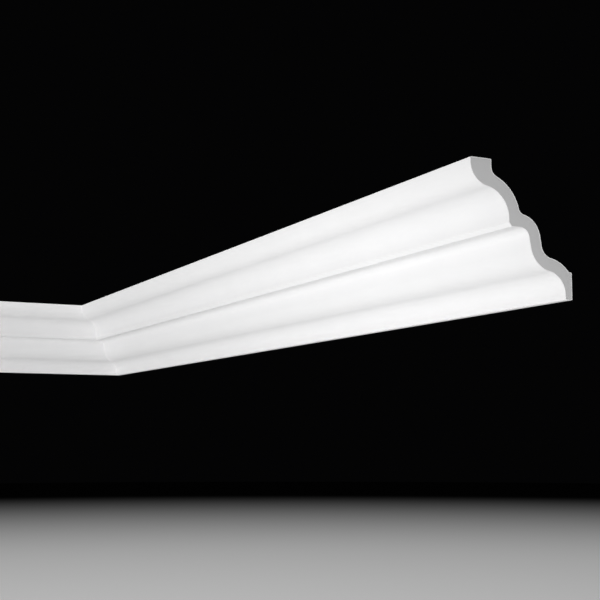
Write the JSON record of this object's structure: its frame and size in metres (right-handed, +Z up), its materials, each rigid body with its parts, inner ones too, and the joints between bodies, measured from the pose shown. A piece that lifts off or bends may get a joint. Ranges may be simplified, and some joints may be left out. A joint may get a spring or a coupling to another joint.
{
  "type": "cornice moulding",
  "caption": "Hollow-backed ceiling cornice moulding with an ogee, drip nose and cove face, mitred around an inside room corner and cut square at its ends.",
  "frame": {"origin": "middle of the long length's flat wall face", "axes": "+X along the long length toward its square end, +Y into the wall behind it, +Z up toward the ceiling"},
  "size_m": [1.35, 0.3, 0.12],
  "materials": {
    "long_coating": "smooth white primed polymer foam",
    "return_coating": "smooth white primed polymer foam"
  },
  "bodies": {
    "root": {"long_length": "long_coating", "corner_return": "return_coating"}
  },
  "joints": []
}
